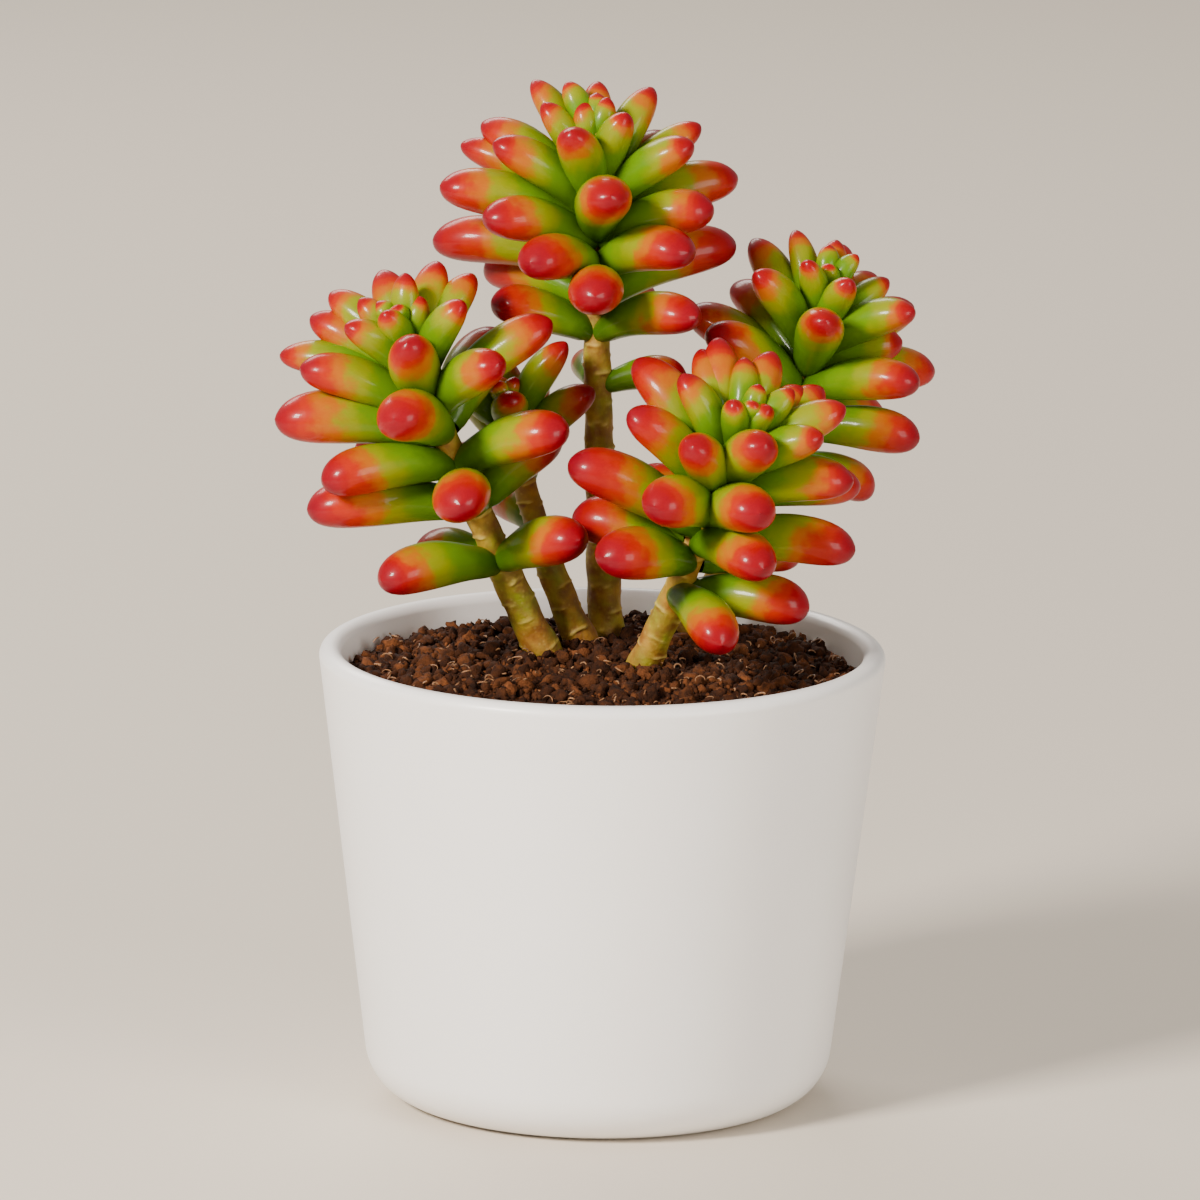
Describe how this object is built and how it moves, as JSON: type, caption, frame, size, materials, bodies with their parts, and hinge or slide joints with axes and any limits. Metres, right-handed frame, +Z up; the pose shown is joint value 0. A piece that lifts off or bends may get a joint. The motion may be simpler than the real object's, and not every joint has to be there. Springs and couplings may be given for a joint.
{
  "type": "potted succulent",
  "caption": "Jelly bean succulent with plump red-tipped bean leaves on branching upright stems, growing from dark soil in a plain white tapered round pot.",
  "frame": {"origin": "centre of the pot's flat underside, on the pot's axis", "axes": "+Z up along the pot's axis, the pictured side faces -Y, +X to the viewer's right"},
  "size_m": [0.1045, 0.09, 0.161],
  "materials": {
    "pot_white": "satin white glaze",
    "soil_brown": "rough crumbs",
    "leafy_green": "waxy, green at the root and red at the tip"
  },
  "bodies": {
    "root": {"pot": "pot_white", "soil": "soil_brown", "shoot_left": "leafy_green", "shoot_centre": "leafy_green", "shoot_right": "leafy_green", "shoot_front": "leafy_green", "shoot_back": "leafy_green"}
  },
  "joints": []
}
